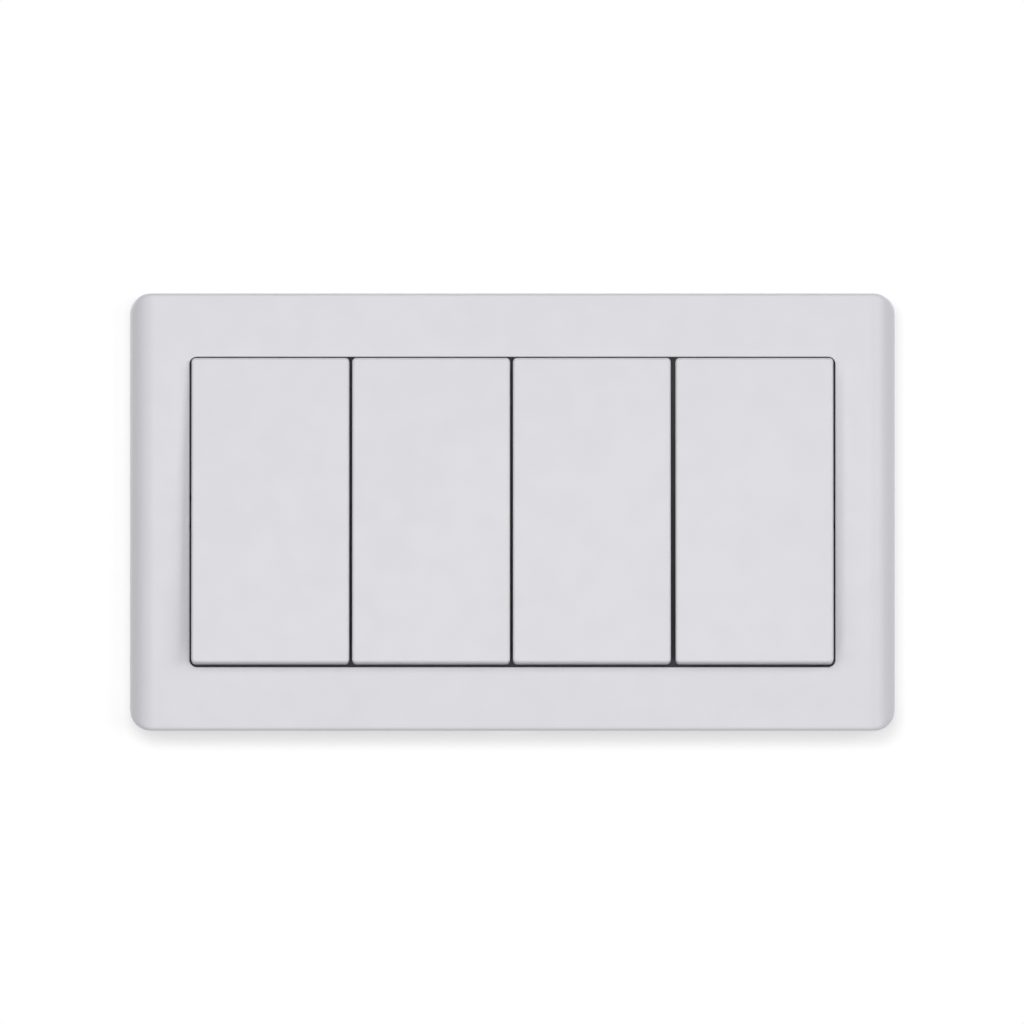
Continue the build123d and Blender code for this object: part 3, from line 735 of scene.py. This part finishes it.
    def ribs_and_legs(self, size, half_w, half_h):
        """Ribs from the lip to the outer wall, above and below the window, and barbed legs."""
        bm = bmesh.new()
        behind_face = -size.depth + size.wall - BURY
        rib_end = -size.depth + size.lip_height
        rib_low = half_h - size.end_rail + size.lip_wall - BURY
        rib_high = half_h - size.wall + BURY
        for end in SIDES:
            z_low, z_high = sorted((end * rib_low, end * rib_high))
            for place in range(self.ribs):
                x = (2 * place + 1 - self.ribs) * half_w / self.ribs
                low = (x - self.rib / 2, behind_face, z_low)
                add_box(bm, low, (x + self.rib / 2, rib_end, z_high))
        _, chassis_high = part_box("mounting_plate")
        inward = chassis_high.z + self.leg_room
        outline = [
            (behind_face, inward),
            (self.barb_front, inward),
            (self.barb_front, inward - self.barb),
            (self.barb_back, inward),
            (self.barb_back, inward + self.leg_wall),
            (behind_face, inward + self.leg_wall),
        ]
        for side in SIDES:
            for end in SIDES:
                turned = [(y, end * z) for y, z in outline]
                middle = side * self.leg_place
                add_prism(bm, turned, middle - self.leg_width / 2, middle + self.leg_width / 2)
        return bm

    def notch(self, size, bottom):
        """The block that cuts the notch where a screwdriver lifts the plate off."""
        bm = bmesh.new()
        low = (-self.notch_half, -self.notch_depth, bottom - size.wall)
        top = bottom + self.notch_reach * size.wall
        add_box(bm, low, (self.notch_half, self.notch_depth, top))
        return bm


class SWITCH_OT_rockers(bpy.types.Operator):
    """Makes the four rockers, thin caps with ribs and hooks behind"""

    bl_idname = "switch.rockers"
    bl_label = "Rockers"

    round_steps = 8
    inside_corner = 0.3 * MM
    # ribs: thickness, depth, and how far those along and across stand from the middle
    rib, rib_depth, rib_along, rib_across = 0.9 * MM, 1.5 * MM, 10.0 * MM, 15.5 * MM
    # hooks: the dolly's plate that they hold, with its play, and the hooks' own sizes
    dolly_plate, play = 1.8 * MM, 0.05 * MM
    hook_place, hook_wall, hook_catch, hook_end = 5.7 * MM, 1.2 * MM, 0.7 * MM, 0.9 * MM
    hook_from, hook_to = 5.2 * MM, 8.8 * MM

    def execute(self, context):
        size = context.scene.switch_rocker
        for gang in GANGS:
            low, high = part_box(f"rocker_{gang}")
            half_w = (high.x - low.x) / 2
            shell = self.shell(size, half_w)
            cap = piece_from(shell, f"rocker_cap_{gang}", finish_for("rocker_white"))
            combine(cap, self.ribs_and_hooks(size, half_w), "UNION")
            cap.data.transform(resting(gang))
            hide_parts(f"rocker_{gang}")
            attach(cap, f"gang_{gang}_rocker")
        return {"FINISHED"}

    def shell(self, size, half_w):
        """The cap about its pivot, level: the face with its small round, and the walls."""

        def ring(behind, inset, radius):
            """A ring at one depth behind the pivot, set in from the rocker's outline."""
            outline = rounded_outline(half_w - inset, size.reach - inset, radius)
            return [(x, behind, z) for x, z in outline]

        rings = []
        for angle in quarter_turn(self.round_steps):
            inset = size.edge * (1 - math.sin(angle))
            behind = size.edge * (1 - math.cos(angle)) - size.face
            rings.append(ring(behind, inset, size.corner - inset))
        rings.append(ring(size.skirt, 0, size.corner))
        for behind in (size.skirt, size.face_wall - size.face):
            rings.append(ring(behind, size.wall, self.inside_corner))
        bm = bmesh.new()
        add_rings(bm, rings, cap_first=True, cap_last=True)
        return bm

    def ribs_and_hooks(self, size, half_w):
        """Two ribs along and two across behind the face, and four hooks for the dolly."""
        bm = bmesh.new()
        inside = size.face_wall - size.face
        start, rib_end = inside - BURY, inside + self.rib_depth
        tall, wide = size.reach - size.wall + BURY, half_w - size.wall + BURY
        for side in SIDES:
            x, z = side * self.rib_along, side * self.rib_across
            add_box(bm, (x - self.rib / 2, start, -tall), (x + self.rib / 2, rib_end, tall))
            add_box(bm, (-wide, start, z - self.rib / 2), (wide, rib_end, z + self.rib / 2))
        plate_back = inside + self.dolly_plate
        outline = [
            (self.hook_place, start),
            (self.hook_place, plate_back + self.play),
            (self.hook_place - self.hook_catch, plate_back + self.play),
            (self.hook_place, plate_back + self.hook_end),
            (self.hook_place + self.hook_wall, plate_back + self.hook_end),
            (self.hook_place + self.hook_wall, start),
        ]
        for side in SIDES:
            for end in SIDES:
                z_low, z_high = sorted((end * self.hook_from, end * self.hook_to))
                add_prism(bm, [(side * x, y) for x, y in outline], z_low, z_high, "Z")
        return bm


class SWITCH_OT_fixing_screws(bpy.types.Operator):
    """Makes the two fixing screws, with pan heads, slots and threads"""

    bl_idname = "switch.fixing_screws"
    bl_label = "Fixing screws"

    # pan head: radius, height, flat of the face, and its round across and along
    head, head_height, face_flat = 3.3 * MM, 1.9 * MM, 1.2 * MM
    round_across, round_along, round_depth = 1.1 * MM, 0.85 * MM, 0.9 * MM
    # how far the flat falls back from its middle to its end
    face_fall = 0.01 * MM
    shank, thread_start, thread_lap, seat_edge = 1.5 * MM, -1.0 * MM, 0.1 * MM, 0.15 * MM
    slot_above, slot_depth = 0.5 * MM, 1.0 * MM
    segments, round_steps = 96, 6

    def execute(self, context):
        size = context.scene.switch_screws
        low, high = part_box("fixing_screws")
        face, seat = low.y, low.y + self.head_height
        round_end, shank_end = face + self.round_depth, self.thread_start + self.thread_lap
        thread = (size.fixing_radius, size.fixing_pitch)
        slot = (3 * self.head, size.fixing_slot, size.fixing_turn)
        profile = [
            (0.0, face),
            (self.face_flat, face + self.face_fall),
            *quarter_round(
                self.head, round_end, self.round_across, -self.round_along, self.round_steps
            ),
            (self.head, seat - self.seat_edge),
            (self.head - self.seat_edge, seat),
            (self.shank, seat),
            (self.shank, shank_end),
            (0.0, shank_end),
        ]
        bm, threads, slots = bmesh.new(), bmesh.new(), bmesh.new()
        for side in SIDES:
            centre = (side * (high.x - self.head), 0.0)
            add_lathe(bm, profile, centre, self.segments)
            add_thread(threads, centre, self.thread_start, high.y, *thread)
            depth = self.slot_above + self.slot_depth
            add_slot(slots, centre, face - self.slot_above, depth, *slot)
        screws = piece_from(bm, "fixing_screw_pair", finish_for("blackened"))
        combine(screws, slots, "DIFFERENCE")
        join_in(screws, threads)
        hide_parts("fixing_screws")
        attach(screws, "base")
        return {"FINISHED"}


class SWITCH_OT_terminal_screws(bpy.types.Operator):
    """Makes the terminal screws, with slotted and crossed heads"""

    bl_idname = "switch.terminal_screws"
    bl_label = "Terminal screws"

    # angles in degrees at which the three screws of each gang were left
    turns = ((12, 64, -28), (-41, 5, 80), (33, -70, 18), (-9, 52, -55))
    head_height, head_round, face_flat = 1.3 * MM, 0.45 * MM, 0.9 * MM
    # the neck between head and thread, within the thread
    neck_inset, neck_length = 0.1 * MM, 0.2 * MM
    # the slot runs right across and the cross is short; the cutters stand above the head by
    # amounts that differ a little, so that none of their faces lie in one plane
    slot_width, slot_depth, slot_above = 0.8 * MM, 0.65 * MM, 0.5 * MM
    cross_length, cross_width, cross_above = 2.6 * MM, 0.6 * MM, 0.51 * MM
    cross_depth = 1.05 * slot_depth
    segments, round_steps = 72, 5

    def execute(self, context):
        size = context.scene.switch_screws
        head, neck = size.terminal_head, size.terminal_radius - self.neck_inset
        thread = (size.terminal_radius, size.terminal_pitch)
        for gang, turns in zip(GANGS, self.turns):
            low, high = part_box(f"terminal_screws_{gang}")
            upper = ((low.x + high.x) / 2, high.z - head)
            lower = [(x, low.z + head) for x in (low.x + head, high.x - head)]
            face = high.y
            under_head = face - self.head_height
            profile = [
                (0.0, face),
                (self.face_flat, face),
                *quarter_round(
                    head, face - self.head_round, self.head_round, self.head_round, self.round_steps
                ),
                (head, under_head),
                (neck, under_head),
                (neck, under_head - self.neck_length),
                (0.0, under_head - self.neck_length),
            ]
            bm, threads, slots = bmesh.new(), bmesh.new(), bmesh.new()
            for centre, turn in zip((upper, *lower), turns):
                add_lathe(bm, profile, centre, self.segments)
                add_thread(threads, centre, under_head, low.y, *thread)
                angle = math.radians(turn)
                cutters = (
                    (self.slot_above, self.slot_depth, 3 * head, self.slot_width, 0.0),
                    (self.cross_above, self.cross_depth, self.cross_length, self.cross_width, 90),
                )
                for above, depth, length, width, across in cutters:
                    turned = angle + math.radians(across)
                    add_slot(slots, centre, face + above, -above - depth, length, width, turned)
            screws = piece_from(bm, f"terminal_screw_set_{gang}", finish_for("plated_steel"))
            combine(screws, slots, "DIFFERENCE")
            join_in(screws, threads)
            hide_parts(f"terminal_screws_{gang}")
            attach(screws, "base")
        return {"FINISHED"}


class SWITCH_OT_springs(bpy.types.Operator):
    """Makes the four plunger springs, coils with a closed turn at each end"""

    bl_idname = "switch.springs"
    bl_label = "Plunger springs"

    rings_per_turn, round_wire = 28, 10
    smooth_angle = math.radians(60)
    # how far the plunger's joint can shorten the spring
    travel = 0.5 * MM

    def execute(self, context):
        size = context.scene.switch_springs
        for gang in GANGS:
            bm = bmesh.new()
            add_rings(bm, self.rings(size), cap_first=True, cap_last=True)
            turned = resting(gang)
            bmesh.ops.transform(bm, matrix=turned, verts=bm.verts)
            steel = finish_for("spring_steel")
            spring = piece_from(bm, f"plunger_coil_{gang}", steel, self.smooth_angle)
            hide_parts(f"plunger_spring_{gang}")
            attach(spring, f"gang_{gang}_rocker")
            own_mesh(spring)
        return {"FINISHED"}

    def rings(self, size):
        """Rings round the wire, along the coil, in the gang's own frame."""
        closed_pitch = 2 * size.wire
        open_turns = size.turns - 2
        open_pitch = (size.length - 2 * closed_pitch) / open_turns
        rings = []
        for step in range(round(size.turns * self.rings_per_turn) + 1):
            turn = step / self.rings_per_turn
            along = closed_pitch * min(turn, 1.0)
            along += open_pitch * max(0.0, min(turn - 1, open_turns))
            along += closed_pitch * max(0.0, turn - 1 - open_turns)
            angle = 2 * math.pi * turn
            outward = Vector((math.cos(angle), 0.0, math.sin(angle)))
            centre = outward * size.radius + Vector((0.0, size.start + along, 0.0))
            ring = []
            for place in range(self.round_wire):
                around = 2 * math.pi * place / self.round_wire
                offset = outward * math.cos(around) + Vector((0.0, math.sin(around), 0.0))
                ring.append(centre + offset * size.wire)
            rings.append(ring)
        return rings


class SWITCH_OT_stage(bpy.types.Operator):
    """Makes the wall behind the plate, the lamps, the world and the camera"""

    bl_idname = "switch.stage"
    bl_label = "Stage"

    # half the wall's size, the rounds of its corners and of its hole's, and how far it lies
    # behind the plate's back, so that they share no plane
    wall_reach, wall_corner, hole_corner, wall_depth = 0.30, 0.01, 3.0 * MM, 0.05 * MM
    # tones of the paint near the plate, of the light added to it, and of what the lamps meet
    paint_tone, paint_lift, bounce_tone = 0.54, 0.44, 0.35
    # distances beyond the plate over which the paint gives way to plain white
    fade_start, fade_end = 4.0 * MM, 12.0 * MM
    lamp_distance, view_end = 1.3, 20.0

    def execute(self, context):
        wall = self.wall(context)
        self.lamps(context, wall)
        self.world(context)
        self.camera(context)
        return {"FINISHED"}

    def wall(self, context):
        """A white wall with the hole of the wall box, seen only from the room's side."""
        _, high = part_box("mounting_plate")
        bm = bmesh.new()
        outer = rounded_outline(self.wall_reach, self.wall_reach, self.wall_corner)
        hole = rounded_outline(high.x, high.z, self.hole_corner)
        rings = [[bm.verts.new((x, self.wall_depth, z)) for x, z in ring] for ring in (outer, hole)]
        join_rings(bm, rings[1], rings[0])
        for face in bm.faces:
            face.normal_update()
            if face.normal.y > 0:
                face.normal_flip()
        mesh = bpy.data.meshes.new("wall")
        bm.to_mesh(mesh)
        bm.free()
        mesh.materials.append(self.paint())
        wall = object_of(mesh, "wall")
        wall.visible_shadow = False
        return wall

    def paint(self):
        """Paint that takes a shadow close to the plate, and plain white further out."""
        material = bpy.data.materials.new("wall_paint")
        tree = cleared_tree(material)
        _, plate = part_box("front_frame")
        place = add_node(tree, "TexCoord").outputs["Object"]
        split = add_node(tree, "SeparateXYZ", {0: place})
        beyond = []
        for axis, half in (("X", plate.x), ("Z", plate.z)):
            across = add_node(tree, "Math", {0: split.outputs[axis]}, operation="ABSOLUTE")
            beyond.append(add_node(tree, "Math", {0: across, 1: half}, operation="SUBTRACT"))
        most = add_node(tree, "Math", dict(enumerate(beyond)), operation="MAXIMUM")
        inputs = {"Value": most, "From Min": self.fade_start, "From Max": self.fade_end}
        fade = add_node(tree, "MapRange", inputs, interpolation_type="SMOOTHSTEP")
        path = add_node(tree, "LightPath").outputs
        seen = path["Is Camera Ray"]
        for kind in ("Is Glossy Ray", "Is Transmission Ray"):
            seen = add_node(tree, "Math", {0: seen, 1: path[kind]}, operation="MAXIMUM")
        paint = add_node(tree, "BsdfDiffuse", {"Color": grey(self.paint_tone)})
        lift = add_node(tree, "Emission", {"Strength": self.paint_lift})
        lifted = add_node(tree, "AddShader", {0: paint, 1: lift})
        glow = add_node(tree, "Emission", {"Strength": 1.0})
        bounce = add_node(tree, "BsdfDiffuse", {"Color": grey(self.bounce_tone)})
        clear = add_node(tree, "BsdfTransparent")
        back = add_node(tree, "NewGeometry").outputs["Backfacing"]
        near_or_far = add_node(tree, "MixShader", {0: fade.outputs["Result"], 1: lifted, 2: glow})
        by_ray = add_node(tree, "MixShader", {0: seen, 1: bounce, 2: near_or_far})
        one_sided = add_node(tree, "MixShader", {0: back, 1: by_ray, 2: clear})
        add_node(tree, "OutputMaterial", {"Surface": one_sided})
        return material

    def lamps(self, context, wall):
        """Three soft boxes in front, one that lights only the wall, and two behind it."""
        settings = context.scene.switch_stage
        # name, azimuth and elevation in degrees, power, width and height in metres
        boxes = (
            ("box_front", -3, 5, settings.front_power, 0.8, 0.8),
            ("box_left", -40, 4, settings.left_power, 0.7, 0.7),
            ("box_right", 38, 4, settings.right_power, 0.7, 0.7),
            ("wall_wash", -9, 19, settings.wash_power, 0.7, 0.4),
            ("box_back_left", 215, 25, settings.back_power, 0.9, 0.9),
            ("box_back_right", 145, 35, settings.back_power, 0.9, 0.9),
        )
        for name, azimuth, elevation, power, width, height in boxes:
            lamp = bpy.data.lights.new(name, "AREA")
            lamp.shape = "RECTANGLE"
            lamp.size, lamp.size_y = width, height
            lamp.energy = power
            box = object_of(lamp, name)
            turn, rise = math.radians(azimuth), math.radians(elevation)
            level = math.cos(rise)
            direction = (math.sin(turn) * level, -math.cos(turn) * level, math.sin(rise))
            box.location = self.lamp_distance * Vector(direction)
            box.rotation_euler = (-box.location).to_track_quat("-Z", "Y").to_euler()
            if name == "wall_wash":
                lit = bpy.data.collections.new("lit_by_the_wash")
                lit.objects.link(wall)
                box.light_linking.receiver_collection = lit

    def world(self, context):
        """Even light from all round, and plain white where the camera sees past the wall."""
        world = bpy.data.worlds.new("studio")
        context.scene.world = world
        tree = cleared_tree(world)
        ambient = context.scene.switch_stage.ambient
        dim, white = (
            add_node(tree, "Background", {"Color": grey(1.0), "Strength": strength})
            for strength in (ambient, 1.0)
        )
        seen = add_node(tree, "LightPath").outputs["Is Camera Ray"]
        mix = add_node(tree, "MixShader", {0: seen, 1: dim, 2: white})
        add_node(tree, "OutputWorld", {"Surface": mix})

    def camera(self, context):
        """Straight on, far enough away for the picture's flat perspective."""
        settings = context.scene.switch_stage
        low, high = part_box("front_frame")
        camera = bpy.data.cameras.new("camera")
        pixels = settings.picture_pixels
        view_width = (high.x - low.x) * pixels / settings.plate_pixels
        camera.lens = camera.sensor_width * (settings.camera_distance + low.y) / view_width
        camera.shift_x = (pixels / 2 - settings.plate_centre_px) / pixels
        camera.clip_end = self.view_end
        holder = object_of(camera, "camera")
        holder.location = (0.0, -settings.camera_distance, 0.0)
        holder.rotation_euler = (math.radians(90), 0.0, 0.0)
        context.scene.camera = holder
        context.scene.view_settings.view_transform = "Standard"


STEPS = (
    SWITCH_OT_finishes,
    SWITCH_OT_front_plate,
    SWITCH_OT_rockers,
    SWITCH_OT_fixing_screws,
    SWITCH_OT_terminal_screws,
    SWITCH_OT_springs,
    SWITCH_OT_stage,
)


class SWITCH_PT_panel(bpy.types.Panel):
    """The steps and their settings"""

    bl_idname = "SWITCH_PT_panel"
    bl_label = "Four-gang light switch"
    bl_space_type = "VIEW_3D"
    bl_region_type = "UI"
    bl_category = "Switch"

    def draw(self, context):
        for step in STEPS:
            self.layout.operator(step.bl_idname)
        for group in GROUPS:
            settings = getattr(context.scene, group)
            box = self.layout.box()
            box.label(text=type(settings).__doc__)
            for name in type(settings).__annotations__:
                box.prop(settings, name)


GROUPS = {
    "switch_plate": PlateSizes,
    "switch_rocker": RockerSizes,
    "switch_screws": ScrewSizes,
    "switch_springs": SpringSizes,
    "switch_colours": FinishColours,
    "switch_stage": StageSettings,
}


def register():
    for made in (*GROUPS.values(), *STEPS, SWITCH_PT_panel):
        bpy.utils.register_class(made)
    for name, group in GROUPS.items():
        setattr(bpy.types.Scene, name, PointerProperty(type=group))


def unregister():
    for name in GROUPS:
        delattr(bpy.types.Scene, name)
    for made in reversed((*GROUPS.values(), *STEPS, SWITCH_PT_panel)):
        bpy.utils.unregister_class(made)


def corners(box):
    """A box as plain lists."""
    return [[float(v) for v in corner] for corner in box]


def main():
    register()
    for step in STEPS:
        group, name = step.bl_idname.split(".")
        getattr(getattr(bpy.ops, group), name)()


if __name__ == "__main__":
    main()
